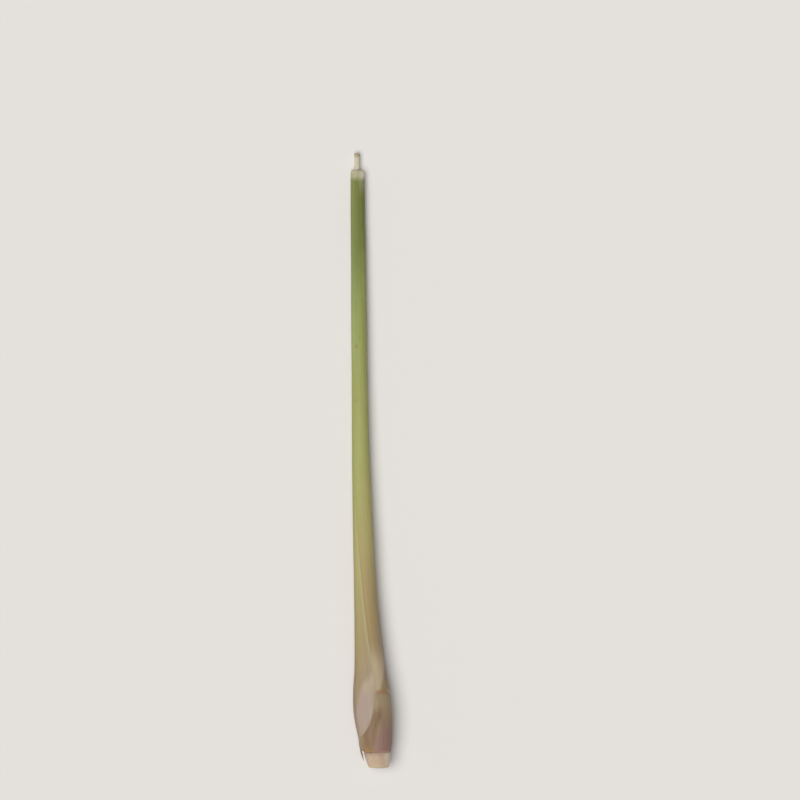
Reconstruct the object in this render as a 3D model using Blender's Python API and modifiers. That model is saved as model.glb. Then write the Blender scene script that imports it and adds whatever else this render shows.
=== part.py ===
"""A cut lemongrass stalk, lying on a flat surface at its real size.

The stalk runs along +Y from its cut root end to its cut top, and rests on the underside
of its bulb and of its top end. Sizes are in millimetres and angles in degrees up to the
place where a point is made. An angle goes round the stalk from straight up (+Z), and it
is positive towards +X. Distances along the stalk are measured from the cut root end.
"""

import math
import random

import bmesh
import bpy
import numpy as np
from mathutils import Vector

MM = 0.001

# Driving dimensions along the stalk
STALK_LENGTH = 307.5
OUTER_TOP = 299.0
RIM_ROUND = 297.8
INNER_TOP = 297.6
INNER_RIM = 7.6
CULM_TOP = 20.0
HEART_ROOT = 24.0

# The outline seen from above: distance along the stalk, then the middle's offset along X
MIDDLE_X = [(0, 3.5), (14, 2.0), (29, 0.6), (49, -0.7), (94, -3.3), (174, -5.7), (299, -7.0)]
# The outline's half width: the bulb, the neck above it and the slender top with its cut rim
HALF_WIDTH = [
    (INNER_RIM, 7.0), (14, 8.4), (29, 9.7), (39, 9.1), (49, 7.8), (64, 6.75),
    (94, 5.5), (129, 4.8), (174, 4.15), (219, 3.85), (RIM_ROUND, 3.45), (OUTER_TOP, 3.1),
]  # fmt: skip
HEIGHT_SHARE = 0.96

# Where the stalk rests, and how deep each resting spot is flattened
BULB_REST = 27.0
BULB_FLAT = 0.6
TOP_REST = 296.0
TOP_FLAT = 0.25

# The outer sheath, a rolled leaf base whose two margins meet along a slowly winding line
OUTER_WALL = 0.65
LAYER_GAP = 0.3
MARGIN_ANGLE = [(40.5, 28), (54, 7), (84, -12), (111, -29), (160, -60), (220, -95), (299, -125)]
WRAP_ANGLE = 356.0
MARGIN_LIFT = 0.35
MARGIN_LIFT_SPAN = 24.0
# Its torn lower edge by angle: a rounded lobe on the left, an old tear across the right
LOWER_EDGE = [
    (28, 40.5), (14, 37), (6, 30), (-8, 23.5), (-22, 20), (-48, 16.5), (-90, 13.5),
    (-150, 12.5), (-200, 15), (-240, 25), (-262, 36), (-280, 38), (-330, 37.6),
]  # fmt: skip
TEAR_SEED = 7
TEAR_JAG = 0.35
OUTER_COLUMNS = 36
OUTER_ROWS = 32
ROWS_CROWDED = 1.7

# The inner sheaths, one fleshy roll round a bore for the heart
BORE_RADIUS = 1.5
EDGE_CLEAR = 2.6
BARE_BLEND = 5.5
SKIN_STATIONS = [
    INNER_RIM, 10, 13, 17, 21, 25, 29, 33, 37, 41, 46, 52,
    60, 70, 82, 96, 115, 135, 160, 190, 220, 255, 290, INNER_TOP,
]  # fmt: skip
BORE_STATIONS = [INNER_TOP, 290, 220, 150, 90, 50, 30, 22.5]
SOCKET_STATIONS = [18, 12, INNER_RIM]
ROUND_SIDES = 32

# The culm, the short solid stem that the sheaths grow from: distance, then radius. The rings
# on its cut face are radius, then depth
CULM_PROFILE = [
    (0, 5.1), (2, 5.65), (4, 6.05), (6.4, 6.25), (7.4, 5.9), (12, 5.4), (18, 2.4), (CULM_TOP, 1.0),
]  # fmt: skip
CULM_RINGS = [(1.2, 0.0), (2.1, 0.25), (3.0, 0.0), (3.7, 0.25), (4.5, 0.0)]

# The heart, the innermost rolled leaf, which stands out of the cut top
HEART_RADIUS = 1.25
HEART_FLARE = 1.35
HEART_SIDEWAYS = [(HEART_ROOT, 0.0), (250, 0.0), (OUTER_TOP, -0.2), (STALK_LENGTH, -0.37)]
HEART_STATIONS = [
    HEART_ROOT, 40, 60, 90, 130, 180, 230, 270, 290, OUTER_TOP, 303, 306, STALK_LENGTH,
]  # fmt: skip

# Ribs that run along the sheaths
RIB_HEIGHT = 0.1

# Shreds of torn sheath at the root end: angle, length, half width at the root
SHRED_SEED = 7
SHREDS = [(-84, 4.6, 0.6), (-128, 3.0, 0.5), (158, 4.0, 0.55), (118, 2.6, 0.5)]
SHRED_RADIUS = 7.15
SHRED_ROOT = 3.0
SHRED_CURL = 0.5
SHRED_TAPER = 0.6
SHRED_LEAN = (2, 9)
SHRED_STEPS = 4

# Colour, roughness and metallic value of each piece
FINISHES = {
    "outer_sheath": ((0.42, 0.42, 0.17, 1.0), 0.42),
    "inner_sheath": ((0.40, 0.27, 0.20, 1.0), 0.5),
    "culm_base": ((0.60, 0.46, 0.34, 1.0), 0.65),
    "heart": ((0.66, 0.62, 0.42, 1.0), 0.5),
}
METALLIC = 0.0


def smooth_curve(points):
    """A function through (distance, value) points that has no kink and never overshoots them."""
    at, values = np.array(sorted(points), float).T
    spans = np.diff(at)
    slopes = np.diff(values) / spans
    tangents = np.zeros(len(at))
    tangents[0], tangents[-1] = slopes[0], slopes[-1]
    for i in range(1, len(at) - 1):
        before, after = slopes[i - 1], slopes[i]
        if before * after > 0:
            tangents[i] = 2 * before * after / (before + after)

    def value(distance):
        distance = min(max(distance, at[0]), at[-1])
        i = min(int(np.searchsorted(at, distance, "right")) - 1, len(spans) - 1)
        t = (distance - at[i]) / spans[i]
        start = (1 + 2 * t) * (1 - t) ** 2 * values[i] + t * (1 - t) ** 2 * spans[i] * tangents[i]
        end = t * t * (3 - 2 * t) * values[i + 1] + t * t * (t - 1) * spans[i] * tangents[i + 1]
        return float(start + end)

    return value


middle_x = smooth_curve(MIDDLE_X)
half_width = smooth_curve(HALF_WIDTH)
margin_angle = smooth_curve(MARGIN_ANGLE)
lower_edge = smooth_curve(LOWER_EDGE)
culm_radius = smooth_curve(CULM_PROFILE)
heart_sideways = smooth_curve(HEART_SIDEWAYS)


def smooth_step(share):
    """0 below 0, 1 above 1, and a smooth rise between them."""
    share = min(max(share, 0.0), 1.0)
    return share * share * (3 - 2 * share)


def middle_z(along):
    """Height of the stalk's middle, on the straight line that sets both resting spots down flat."""
    low = half_width(BULB_REST) * HEIGHT_SHARE - BULB_FLAT
    high = half_width(TOP_REST) * HEIGHT_SHARE - TOP_FLAT
    return low + (high - low) * (along - BULB_REST) / (TOP_REST - BULB_REST)


def place(along, angle, radius, floor=0.0, sideways=0.0):
    """The point at that distance, angle and radius, in metres and no lower than floor."""
    turn = math.radians(angle)
    x = middle_x(along) + sideways + radius * math.sin(turn)
    z = middle_z(along) + radius * HEIGHT_SHARE * math.cos(turn)
    return Vector((x, along - STALK_LENGTH / 2, max(z, floor))) * MM


def ring(along, radius, sideways=0.0):
    """One closed round section of the stalk."""
    angles = [360 * k / ROUND_SIDES for k in range(ROUND_SIDES)]
    return [place(along, angle, radius, sideways=sideways) for angle in angles]


def object_from(name, bm, collection):
    """Turns a bmesh into an object with its normals facing out and its round faces smooth."""
    bmesh.ops.recalc_face_normals(bm, faces=bm.faces)
    mesh = bpy.data.meshes.new(name)
    bm.to_mesh(mesh)
    bm.free()
    mesh.shade_smooth()
    mesh.set_sharp_from_angle(angle=math.radians(40))
    obj = bpy.data.objects.new(name, mesh)
    collection.objects.link(obj)
    return obj


def loft(name, sections, collection, closed_round, ends):
    """Skins a list of sections that have as many points each. ends is open, capped or joined."""
    bm = bmesh.new()
    rows = [[bm.verts.new(point) for point in section] for section in sections]
    columns = len(rows[0]) - (0 if closed_round else 1)
    pairs = list(zip(rows, rows[1:]))
    if ends == "joined":
        pairs.append((rows[-1], rows[0]))
    for lower, upper in pairs:
        for k in range(columns):
            after = (k + 1) % len(lower)
            bm.faces.new((lower[k], lower[after], upper[after], upper[k]))
    if ends == "capped":
        bm.faces.new(rows[0])
        bm.faces.new(rows[-1])
    return object_from(name, bm, collection)


def bare_share(along, angle):
    """How bare the inner sheaths are: 0 under the outer sheath and 1 well below its torn edge."""
    unrolled = angle if angle <= LOWER_EDGE[0][0] else angle - 360
    bare_from = lower_edge(unrolled) - EDGE_CLEAR
    blend = min(BARE_BLEND, bare_from - INNER_RIM)
    return smooth_step((bare_from - along) / blend)


def outer_sheath(collection):
    """The long green sheath, an open roll thickened inwards."""
    draw = random.Random(TEAR_SEED)
    turned = [WRAP_ANGLE * column / OUTER_COLUMNS for column in range(OUTER_COLUMNS + 1)]
    edges = [
        lower_edge(MARGIN_ANGLE[0][1] - turn) + draw.uniform(-TEAR_JAG, TEAR_JAG)
        for turn in turned
    ]
    levels = []
    for row in range(OUTER_ROWS + 1):
        share = (row / OUTER_ROWS) ** ROWS_CROWDED
        levels.append([edge + (RIM_ROUND - edge) * share for edge in edges])
    for along in ((RIM_ROUND + 2 * OUTER_TOP) / 3, OUTER_TOP):
        levels.append([along] * len(edges))
    sections = []
    for level in levels:
        section = []
        for column, (turn, along) in enumerate(zip(turned, level)):
            lift = MARGIN_LIFT * (1 - smooth_step(turn / MARGIN_LIFT_SPAN))
            radius = half_width(along) + RIB_HEIGHT * (-1) ** column + lift
            section.append(place(along, margin_angle(along) - turn, radius))
        sections.append(section)
    sheath = loft("outer_sheath", sections, collection, closed_round=False, ends="open")
    wall = sheath.modifiers.new("wall", "SOLIDIFY")
    wall.thickness = OUTER_WALL * MM
    wall.offset = -1
    wall.use_even_offset = True
    return sheath


def inner_sheath_skin(along):
    """A section of the fleshy roll's outside: ribbed where it is bare, sunk where it is covered."""
    section = []
    for k in range(ROUND_SIDES):
        angle = 360 * k / ROUND_SIDES
        bare = bare_share(along, angle if angle <= 180 else angle - 360)
        depth = (OUTER_WALL + LAYER_GAP) * (1 - bare)
        radius = half_width(along) - depth + RIB_HEIGHT * bare * (-1) ** k
        section.append(place(along, angle, radius, floor=depth))
    return section


def inner_sheath(collection):
    """The fleshy roll of inner sheaths, from the rim at the root end to the cut top."""
    sections = [inner_sheath_skin(along) for along in SKIN_STATIONS]
    sections += [ring(along, BORE_RADIUS, heart_sideways(along)) for along in BORE_STATIONS]
    sections += [ring(along, culm_radius(along) + LAYER_GAP) for along in SOCKET_STATIONS]
    return loft("inner_sheath", sections, collection, closed_round=True, ends="joined")


def shred(index, angle, length, half, collection):
    """A tapering strip of torn sheath, rooted in the rim and curling a little as it runs out."""
    draw = random.Random(SHRED_SEED + index)
    lean = draw.uniform(*SHRED_LEAN)
    curve = bpy.data.curves.new(f"shred_{index}", "CURVE")
    curve.dimensions = "3D"
    curve.bevel_depth = half * MM
    curve.bevel_resolution = 1
    curve.use_fill_caps = True
    spline = curve.splines.new("POLY")
    spline.points.add(SHRED_STEPS)
    for step, point in enumerate(spline.points):
        share = step / SHRED_STEPS
        along = INNER_RIM + SHRED_ROOT - (length + SHRED_ROOT) * share
        radius = SHRED_RADIUS + SHRED_CURL * share * share
        point.co = (*place(along, angle + lean * share, radius), 1)
        point.radius = 1 - SHRED_TAPER * share
    strip = bpy.data.objects.new(f"shred_{index}", curve)
    collection.objects.link(strip)
    return strip


def mesh_of(obj, collection):
    """Replaces a curve object by a closed mesh object of the same shape."""
    bpy.context.view_layer.update()
    evaluated = obj.evaluated_get(bpy.context.evaluated_depsgraph_get())
    mesh = bpy.data.meshes.new_from_object(evaluated)
    bm = bmesh.new()
    bm.from_mesh(mesh)
    bmesh.ops.remove_doubles(bm, verts=bm.verts, dist=0.001 * MM)
    bmesh.ops.recalc_face_normals(bm, faces=bm.faces)
    bm.to_mesh(mesh)
    bm.free()
    solid = bpy.data.objects.new(obj.name + "_solid", mesh)
    solid.matrix_world = obj.matrix_world
    collection.objects.link(solid)
    bpy.data.objects.remove(obj)
    return solid


def join_shreds(sheath):
    """Fuses the torn shreds to the rim that they grow from."""
    strips = bpy.data.collections.new("shreds")
    bpy.context.scene.collection.children.link(strips)
    for index, (angle, length, half) in enumerate(SHREDS):
        mesh_of(shred(index, angle, length, half, strips), strips)
    union = sheath.modifiers.new("shreds", "BOOLEAN")
    union.operation = "UNION"
    union.operand_type = "COLLECTION"
    union.collection = strips
    bpy.context.view_layer.update()
    evaluated = sheath.evaluated_get(bpy.context.evaluated_depsgraph_get())
    joined = bpy.data.meshes.new_from_object(evaluated)
    sheath.modifiers.clear()
    sheath.data = joined
    for strip in list(strips.objects):
        bpy.data.objects.remove(strip)
    bpy.data.collections.remove(strips)


def culm_base(collection):
    """The pale culm: its cut face shows growth rings, and its top tapers inside the sheaths."""
    sections = [ring(sunk, radius) for radius, sunk in CULM_RINGS]
    sections += [ring(along, radius) for along, radius in CULM_PROFILE]
    return loft("culm_base", sections, collection, closed_round=True, ends="capped")


def heart(collection):
    """The rolled innermost leaf, a slender rod that flares a little at its cut tip."""
    curve = bpy.data.curves.new("heart", "CURVE")
    curve.dimensions = "3D"
    curve.bevel_depth = HEART_RADIUS * MM
    curve.bevel_resolution = 4
    curve.use_fill_caps = True
    spline = curve.splines.new("POLY")
    spline.points.add(len(HEART_STATIONS) - 1)
    for point, along in zip(spline.points, HEART_STATIONS):
        point.co = (*place(along, 0, 0, sideways=heart_sideways(along)), 1)
        point.radius = 1
    spline.points[-1].radius = HEART_FLARE / HEART_RADIUS
    rod = bpy.data.objects.new("heart", curve)
    collection.objects.link(rod)
    return rod


def finish(obj):
    """Gives a piece its own material."""
    colour, roughness = FINISHES[obj.name]
    material = bpy.data.materials.new(obj.name)
    material.use_nodes = True
    shader = material.node_tree.nodes["Principled BSDF"]
    shader.inputs["Base Color"].default_value = colour
    shader.inputs["Roughness"].default_value = roughness
    shader.inputs["Metallic"].default_value = METALLIC
    obj.data.materials.clear()
    obj.data.materials.append(material)


def build():
    for obj in list(bpy.data.objects):
        bpy.data.objects.remove(obj)
    stalk = bpy.data.collections.new("lemongrass_stalk")
    bpy.context.scene.collection.children.link(stalk)
    roll = inner_sheath(stalk)
    join_shreds(roll)
    for piece in (outer_sheath(stalk), roll, culm_base(stalk), heart(stalk)):
        finish(piece)


build()
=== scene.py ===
"""The looks of a cut lemongrass stalk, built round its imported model.

The stalk lies along +Y from its cut root end to its cut top, and the camera looks straight
down on it. Sizes are in millimetres and angles in degrees up to the place where a point is
made. An angle goes round the stalk from straight up, positive towards +X. A turn goes round
the outer leaf from its free margin. Distances along the stalk are measured from the cut root
end. A pair of distances, angles or turns is where a smooth change starts and where it is
complete, unless its comment says otherwise.
"""

import math
import random

import bmesh
import bpy
import numpy as np
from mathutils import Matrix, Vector


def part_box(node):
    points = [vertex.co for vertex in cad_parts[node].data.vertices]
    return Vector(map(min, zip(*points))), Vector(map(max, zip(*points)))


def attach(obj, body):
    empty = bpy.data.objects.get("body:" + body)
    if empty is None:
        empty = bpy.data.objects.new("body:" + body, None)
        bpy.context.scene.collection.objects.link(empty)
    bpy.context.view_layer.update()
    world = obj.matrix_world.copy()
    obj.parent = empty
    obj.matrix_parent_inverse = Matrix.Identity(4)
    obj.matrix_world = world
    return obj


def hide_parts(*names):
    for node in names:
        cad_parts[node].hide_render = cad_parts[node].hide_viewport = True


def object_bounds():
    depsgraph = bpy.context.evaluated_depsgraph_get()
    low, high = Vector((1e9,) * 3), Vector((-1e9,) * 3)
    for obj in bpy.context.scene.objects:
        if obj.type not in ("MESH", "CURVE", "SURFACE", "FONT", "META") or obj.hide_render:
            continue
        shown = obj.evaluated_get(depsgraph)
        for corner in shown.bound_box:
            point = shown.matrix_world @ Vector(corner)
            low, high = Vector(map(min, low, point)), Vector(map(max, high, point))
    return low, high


MM = 0.001

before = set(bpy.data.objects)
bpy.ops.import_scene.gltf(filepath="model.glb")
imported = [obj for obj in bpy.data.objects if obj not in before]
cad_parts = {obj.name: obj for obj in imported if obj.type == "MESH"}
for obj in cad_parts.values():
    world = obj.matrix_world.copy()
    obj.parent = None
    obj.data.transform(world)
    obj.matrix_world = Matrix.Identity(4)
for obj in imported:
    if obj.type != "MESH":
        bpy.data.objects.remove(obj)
cad_low, cad_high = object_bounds()


def along_of(y):
    """Distance along the stalk of a y coordinate of the frame."""
    return (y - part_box("culm_base")[0].y) / MM


# Distances along the stalk that the frame gives
STALK_LENGTH = along_of(cad_high.y)
OUTER_TOP = along_of(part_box("outer_sheath")[1].y)
MIDDLE_Y = -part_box("culm_base")[0].y / MM

# The outline from the inner sheaths' rim upwards, as in the model except near its top:
# distance along, then the middle's offset or the half width
INNER_RIM = 7.6
MIDDLE_X = [(0, 3.5), (14, 2.0), (29, 0.6), (49, -0.7), (94, -3.3), (174, -5.7), (299, -7.0)]
HALF_WIDTH = [
    (INNER_RIM, 7.0), (14, 8.4), (29, 9.7), (39, 9.1), (49, 7.8), (64, 6.75),
    (94, 5.5), (129, 4.8), (174, 4.15), (219, 3.85), (OUTER_TOP, 3.43),
]  # fmt: skip

# Its height as a share of its width, and its two resting spots: distance along, and how flat
HEIGHT_SHARE = 0.96
BULB_REST = 27.0
BULB_FLAT = 0.6
TOP_REST = 296.0
TOP_FLAT = 0.25

# The outer sheath's free margin and its torn lower edge, close to the model's: the place at the
# front where they meet follows the photograph
MARGIN_ANGLE = [(40.5, 14.5), (54, 6.5), (84, -12), (111, -29), (160, -60), (220, -95), (299, -125)]
LOWER_EDGE = [
    (14.5, 40.5), (11, 36), (5, 31), (-3, 26.2), (-14, 21.8), (-42, 17), (-90, 13.5),
    (-150, 12.5), (-200, 15), (-240, 25), (-262, 35.4), (-285, 37.2), (-312, 38.4), (-330, 37.6),
]  # fmt: skip

# Random relief: its seed, then its cells round the stalk and along it
SWELLINGS = (3, 5, 11)
RIBS = (5, 44, 5)
FINE_RIBS = (6, 90, 7)
EDGE_CURLS = (11, 16, 1)
RIM_CHIPS = (17, 26, 1)
ROOT_RIM_TEETH = (21, 34, 1)
INNER_RIBS = (23, 40, 8)
CUT_WAVES = (31, 20, 1)
RING_WOBBLE = (41, 6, 1)
FACE_GRAIN = (43, 9, 9)
CULM_FIBRES = (45, 46, 6)
HEART_RIBS = (51, 12, 40)
SWELL_HEIGHT = 0.1
RIB_HEIGHT = 0.07

# The outer sheath as a thin leaf: it wraps past its own free margin and is tucked under it. Its
# columns are stretches of turn with their steps, and its rows lie closer near the torn edge.
WRAP_TURN = 376.0
LEAF_COLUMNS = [(0, 8, 1.0), (8, 30, 2.0), (30, 340, 2.6), (340, WRAP_TURN + 0.1, 1.6)]
LEAF_ROWS = 210
ROWS_CROWDED = 1.35
LEAF_WALL = 0.5
MARGIN_WALL = 0.08
EDGE_WALL_SHARE = 0.14
EDGE_THINNING = 3.5
FREE_LIFT = 0.1
FREE_SPAN = 26.0
LIFT_FADE = (100, 160)
LIFT_LOST = 0.8
TUCK_DEPTH = 0.55
TUCK_WALL = 0.2
TUCK_TURNS = (357, 376)
FINE_RIB_SHARE = 0.4
BULB_RIB_SHARE = 0.5
RIB_GROWTH = (30, 80)

# The leaf's torn edge: jagged on the right, and lifted into a lip at one place
TEAR_SEED = 7
TEAR_POINTS = 90
TEAR_JAG = 0.35
WHOLE_JAG_SHARE = 0.35
TORN_TURNS = (170, 225)
LIP_LIFT = 0.14
LIP_TURN = 296.0
LIP_SPAN = 19.0
LIP_LENGTH = 2.4
LIP_SMOOTHNESS = 0.85
CURL_HEIGHT = 0.05
CURL_LENGTH = 2.0

# The leaf's cut rim: rounded in a quarter circle, slanting on its right side, and chipped
RIM_LENGTH = 1.5
RIM_DROP = 0.8
RIM_CURVE = (15, 30, 45, 60, 75, 90)
RIM_SLANT = 0.55
SLANT_SHARES = (0.8, 1.0)
CHIP_DEPTH = 0.12

# Tones of the leaf that have a place on its mesh. The lobe's pale patch has an upper border by
# angle, as a level, a slope and a bend. The pale wedge beside the margin, partly a painted
# highlight, has a right border, as its angle at a distance along, and a slope.
LOBE_BORDER = (47.3, 0.1, -0.0035)
LOBE_BACK = -100.0
WEDGE_BORDER = (34.0, 41.0, 3.6)
WEDGE_SOFTNESS = 8.0
WEDGE_TURNS = (285, 305)
WEDGE_FADE = (49, 65)
STRIP_TURNS = (285, 345)
STRIP_FADE = (80, 150)
# A band of painted shade down the middle of the green top: its angle, its span, and where it starts
SHADE_BAND_ANGLE = 8.0
SHADE_BAND_SPAN = 22.0
SHADE_BAND_START = (236, 262)
# A painted highlight, pale bluish green, on the left side of the upper stalk: the sides it covers,
# where it starts, where it weakens, and how much it loses there
LEFT_HIGHLIGHT_SIDES = (-0.75, -0.15)
LEFT_HIGHLIGHT_START = (185, 215)
LEFT_HIGHLIGHT_FADE = (240, 265)
LEFT_HIGHLIGHT_LOST = 0.3
MARGIN_BLUR = 0.03
MARGIN_BLUR_START = 100.0

# The inner sheaths: their depth under the leaf, in steps of depth over a stretch above its torn
# edge, and the old leaf edge on their bare side, as distance along and angle
DEPTH_STEPS = [(0.12, -1.5, 0.0), (0.5, 0.0, 4.0), (0.23, 4.0, 10.0)]
BARE_DEPTH = 0.2
BARE_LIMIT = 46.0
OLD_EDGE = [(7, -26), (15, -9), (22, 5), (30, 24)]
OLD_EDGE_STEP = 0.16
OLD_EDGE_BACK = (-110, -70)
OLD_EDGE_SOFTNESS = 1.5
OLD_EDGE_FADE = (27, 33)
ROLL_STEP = 1.5
BARE_ROW_STEP = 0.6
COVERED_ROW_STEP = 10.0
COVERED_END = OUTER_TOP - 3
ROWS_BELOW_CUT = (2, 1.3, 0.9)
TEETH_HEIGHT = 0.3
TEETH_REACH = 3.0
RIM_CLOSE = 1.4
RIM_GRIP = 0.05
SOCKET_ROWS = (18, 12, INNER_RIM + 0.3)

# Their cut ends at the top, a scroll of rings round the bore that holds the heart
BORE_RADIUS = 1.5
BORE_ROWS = (OUTER_TOP - 5, 200, 100, 25)
CUT_RINGS = 3
CUT_ROWS = 19
CUT_CLEARANCE = 0.55
CUT_DEPTH = 1.1
CUT_RING_HEIGHT = 0.45
CUT_RING_POWER = 0.6
CUT_WAVE_HEIGHT = 0.1

# Tones of the bare inner sheath, by angle from the old edge or by distance along
MAUVE_ANGLES = (-10, 40)
MAUVE_FADE = (13, 31)
OLD_START = (-60, -20)
OLD_END = (0, 23)
OLD_FADE = (25, 34)
DRY_ANGLE = -36.0
DRY_SPAN = 20.0
DRY_FADE = (8.5, 13.5)

# The culm: distance along, then radius, and its domed cut face with grooves between the rings
CULM_SIDE = [
    (0.4, 4.75), (0.75, 5.05), (2, 5.45), (5.5, 6.05), (7.3, 6.4), (9, 6.1), (12, 5.2), (18, 2.0),
]  # fmt: skip
CULM_SIDEWAYS = 0.2
CULM_STEP = 3.0
CULM_ROWS = [0.42, 0.55, 0.8, 1.2, *np.arange(1.8, 9.5, 0.6), 12, 15, 18]
CULM_FIBRE_HEIGHT = 0.06
CULM_FIBRE_CELLS = 20.0
CULM_VEIN_CELLS = 4
FACE_RADIUS = 4.6
FACE_MIDDLE = 0.02
FACE_ROWS = 40
FACE_RISE = 0.06
FACE_DOME = 0.3
FACE_RINGS = (1.3, 2.7, 3.95)
FACE_WOBBLE = 0.45
GROOVE_WIDTH = 0.17
GROOVE_DEPTH = 0.1
GRAIN_DEPTH = 0.05
GRAIN_CELLS = 60.0

# The heart: a leaf rolled on itself, with a flared, slanting tip that shows its scroll
HEART_RADIUS = 1.25
HEART_FLARE = 1.38
HEART_SCROLL = 0.13
HEART_SIDEWAYS = [(24, 0.0), (250, 0.0), (OUTER_TOP, -0.32), (STALK_LENGTH, -0.37)]
HEART_FLARES = (STALK_LENGTH - 2.2, STALK_LENGTH - 0.6)
HEART_ANGLES = [*np.arange(0, 356, 5.0), 357.5]
HEART_ROWS = [24, 60, 100, 150, 200, 250, 285, *np.arange(290, HEART_FLARES[1], 0.5)]
HEART_RIB_HEIGHT = 0.03
HEART_TURN = 40.0
HEART_TWIST = 0.6
TIP_SHARES = np.linspace(0, 0.98, 16)
TIP_RINGS = 2.5
TIP_BELOW = 0.45
TIP_RING_HEIGHT = 0.35
TIP_RING_POWER = 0.7
TIP_SLANT = 0.25

# The largest dried strip at the root end: its line as distance along, sideways and height, and
# its roll at its root and at its tip
SLIVER_LINE = [(16.5, -7.9, 0.2), (13, -8.1, 0.5), (9, -7.75, 0.5), (6, -7.35, 0.3), (3.8, -7.0, 0)]
SLIVER_WIDTH = 1.5
SLIVER_ROLL = (75, 15)
SLIVER_STEPS = 22
SLIVER_ROOT_SHARE = 0.55
SLIVER_WIDENS = (0, 0.3)
SLIVER_TIP = 0.05

# The shreds there: one that hugs the culm, and others as angle and length, whose widths, curls
# and leans are drawn from ranges
HUGGING_SHRED = {"angle": -78, "length": 4.9, "width": 1.3, "curl": -0.75, "lean": 0.1}
SHREDS = [(-128, 3.0), (-112, 2.2), (-150, 3.6), (175, 2.6), (158, 4.0), (140, 3.0), (118, 2.6)]
SHRED_WIDTHS = (1.5, 2.8)
SHRED_CURLS = (0.0, 0.35)
SHRED_LEANS = (-0.9, 0.9)
SHRED_SEED = 61
SHRED_ROOT = 1.0
SHRED_LIFT = 0.15
SHRED_RADIUS = 7.0
SHRED_STEPS = 14
SHRED_TAPER = 0.8
SHRED_TIP = 0.04
STRIP_WALL = 0.16
STRIP_THINNING = 0.6
STRIP_RAG = 0.24

# Fibres of the torn edge, whose turns, lengths and leans are drawn from ranges
FIBRES = 44
FIBRE_SEED = 67
FIBRE_TURNS = [(225, 280), (312, 345)]
FIBRE_LENGTHS = (0.8, 2.2)
FIBRE_LEANS = (-0.4, 0.5)
FIBRE_ROOT = 0.5
FIBRE_SINK = 0.1
FIBRE_RISE = 0.18
FIBRE_RADIUS = 0.07
FIBRE_THINNING = 0.8
FIBRE_STEPS = 5
FIBRE_SIDES = 3
FIBRE_REACH = 0.4
SKIN_RADIUS = 9.0

# The photograph's view: the length that its side spans, the place of its middle, and the
# nearest and farthest distances that the camera sees
VIEW_WIDTH = 400.0
VIEW_CENTRE = (14.25, 30.25)
CAMERA_HEIGHT = 6000.0
CAMERA_SEES = (100.0, 20000.0)
STALK_HEIGHT = 6.0
SENSOR = 36.0

# The floor's half side, how far it lies under the stalk, and its finish
FLOOR_REACH = 6000.0
FLOOR_GAP = 0.02
FLOOR_ROUGHNESS = 0.8
FLOOR_GLOSS = 0.2

# The light: an even fill, and a key that comes from above and a little from the left
FILL = 0.2
KEY = 2.55
KEY_FROM = (-0.27, -0.12, 0.96)
KEY_SOFTNESS = 50.0
BACKDROP = 0.75

# Colours as they are seen, 0 to 255
COLOURS = {
    "cut cream": (196, 188, 160),
    "bleached": (180, 174, 140),
    "mark brown": (138, 108, 62),
    "deep green": (116, 121, 59),
    "olive": (118, 127, 64),
    "shade_band olive": (106, 108, 54),
    "leaf green": (150, 157, 90),
    "yellow green": (168, 170, 104),
    "straw": (178, 170, 112),
    "tan": (170, 152, 110),
    "strip brown": (168, 142, 98),
    "dull tan": (158, 137, 110),
    "bulb tan": (166, 147, 121),
    "wedge cream": (202, 184, 153),
    "lobe pink": (178, 158, 144),
    "lobe cream": (190, 171, 146),
    "pale line": (200, 188, 156),
    "torn brown": (170, 126, 86),
    "dry orange": (170, 128, 86),
    "dark sliver": (144, 106, 80),
    "dry tan": (160, 130, 98),
    "bare tan": (170, 149, 118),
    "bare brown": (150, 125, 100),
    "old edge and shade brown": (134, 106, 79),
    "mauve": (153, 120, 111),
    "root cream": (196, 172, 148),
    "root pink": (190, 164, 148),
    "root blush": (174, 147, 134),
    "root yellow": (202, 180, 148),
    "root ring": (168, 138, 112),
    "heart cream": (211, 204, 180),
    "left_highlight green": (176, 190, 136),
    "painted highlight cream": (238, 230, 212),
    "painted highlight root": (238, 219, 199),
    "heart olive": (168, 160, 116),
    "heart pink": (180, 160, 134),
    "floor": (230, 227, 223),
}

# The outer sheath's colours: distance along, then the colour there. Its right side looks this
# much nearer to the root, its left as much farther, and blotches drift by up to half of DRIFT.
LEAF_COLOURS = [
    (14, "dull tan"), (46, "bulb tan"), (68, "tan"), (114, "straw"), (165, "yellow green"),
    (230, "leaf green"), (262, "olive"), (290, "deep green"),
]  # fmt: skip
OLDER_SIDE = 16.0
DRIFT = 14.0

# Its tones by distance along: where they start, and where they are full
PETAL_TONE = (33.0, 44.0)
# Painted shade down the left side: near the root end, and up the stalk
LOW_LEFT_SHADE = (62.0, 45.0)
HIGH_LEFT_SHADE = (205.0, 100.0)
BESIDE_MARGIN = (45.0, 37.0)
# Where the green fades towards the rim on the right side only, partly as painted highlight
RIGHT_FADE_AND_HIGHLIGHT = (284.0, 294.0)
BLEACHED_RIM = (293.6, 296.4)
CUT_RIM = (297.6, 298.7)

# Its tones by distance from the lobe's border, from the lower edge or from the margin
LOBE_SOFTNESS = (4.0, -4.5)
WHOLE_BORDER = (4.0, 0.3)
TORN_BORDER = (2.4, 0.4)
LIP_BORDER = (2.2, 0.6)
MARGIN_BORDER = (3.2, 0.4)
MARGIN_LINE = (1.1, 0.2)

# The other parts' tones by distance along
BARE_TONE = (33, 24)
BARE_RIM = (8.9, 7.6)
UNDER_TOP = (250, 290)
CULM_YELLOW = (3.4, 0.6)
CULM_BLUSH = (5.2, 7.6)
CULM_DOTS = (0.6, 0.3)
CULM_SKIN = (0.3, 1.2)
HEART_END = (STALK_LENGTH - 2.8, STALK_LENGTH - 1.2)

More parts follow.
